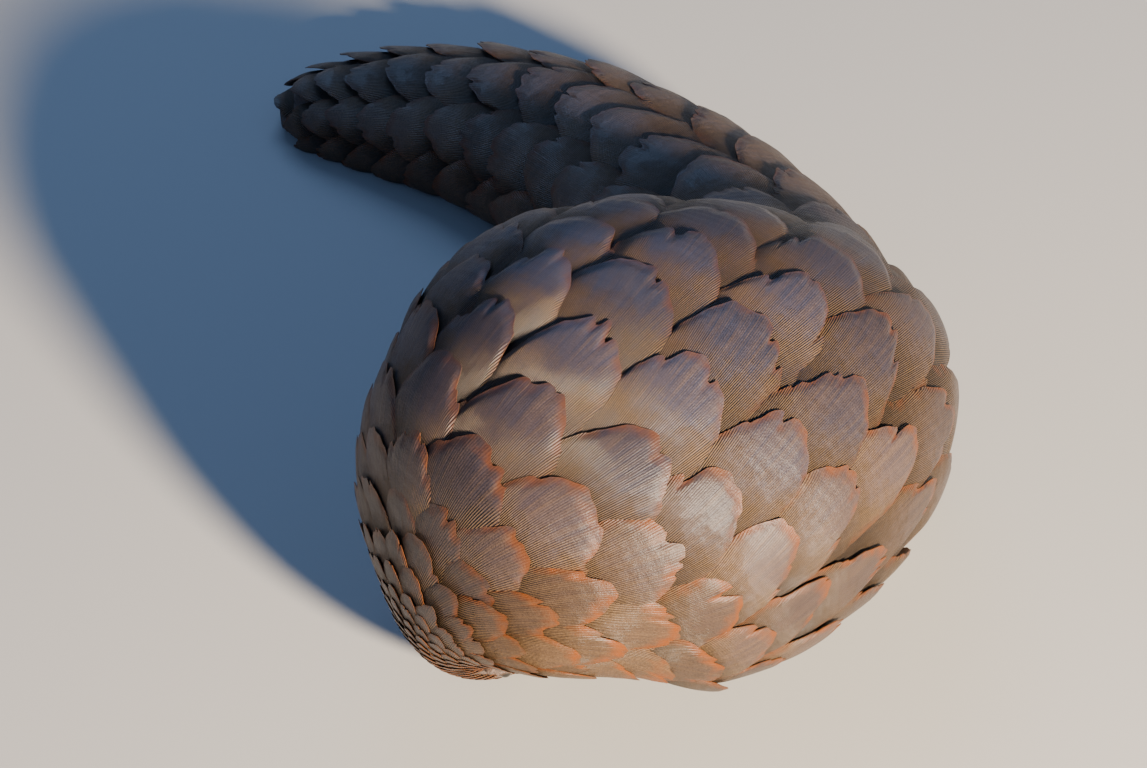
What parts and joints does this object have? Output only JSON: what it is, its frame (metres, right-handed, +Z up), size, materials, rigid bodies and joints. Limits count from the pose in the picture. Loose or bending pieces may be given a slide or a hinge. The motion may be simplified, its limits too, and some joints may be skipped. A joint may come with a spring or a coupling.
{
  "type": "ground pangolin model",
  "caption": "Life-size ground pangolin as a still model, hunched with its head tucked under its chest and its broad scaled tail curled round behind.",
  "frame": {"origin": "on the floor, under the middle of the whole animal's bounding box", "axes": "+Z up; +Y away from the pictured side, towards the tail; +X towards the picture's right, where the rump is"},
  "size_m": [0.3787, 0.5861, 0.2269],
  "materials": {
    "scute": "horn, finely ridged, satin",
    "skin": "bare skin, fine creases, matt",
    "claw": "horn, satin",
    "eye": "wet, glossy"
  },
  "bodies": {
    "root": {"head": "scute", "neck": "scute", "torso": "scute", "tail_base": "scute", "tail_middle": "scute", "tail_rear": "scute", "tail_end": "scute", "eye_left": "eye", "eye_right": "eye", "ear_left": "skin", "ear_right": "skin", "foreleg_left": "skin", "foreleg_right": "skin", "hindleg_left": "skin", "hindleg_right": "skin", "foreleg_left_claw_1": "claw", "foreleg_left_claw_2": "claw", "foreleg_left_claw_3": "claw", "foreleg_left_claw_4": "claw", "foreleg_left_claw_5": "claw", "foreleg_right_claw_1": "claw", "foreleg_right_claw_2": "claw", "foreleg_right_claw_3": "claw", "foreleg_right_claw_4": "claw", "foreleg_right_claw_5": "claw", "hindleg_left_claw_1": "claw", "hindleg_left_claw_2": "claw", "hindleg_left_claw_3": "claw", "hindleg_left_claw_4": "claw", "hindleg_left_claw_5": "claw", "hindleg_right_claw_1": "claw", "hindleg_right_claw_2": "claw", "hindleg_right_claw_3": "claw", "hindleg_right_claw_4": "claw", "hindleg_right_claw_5": "claw"}
  },
  "joints": []
}
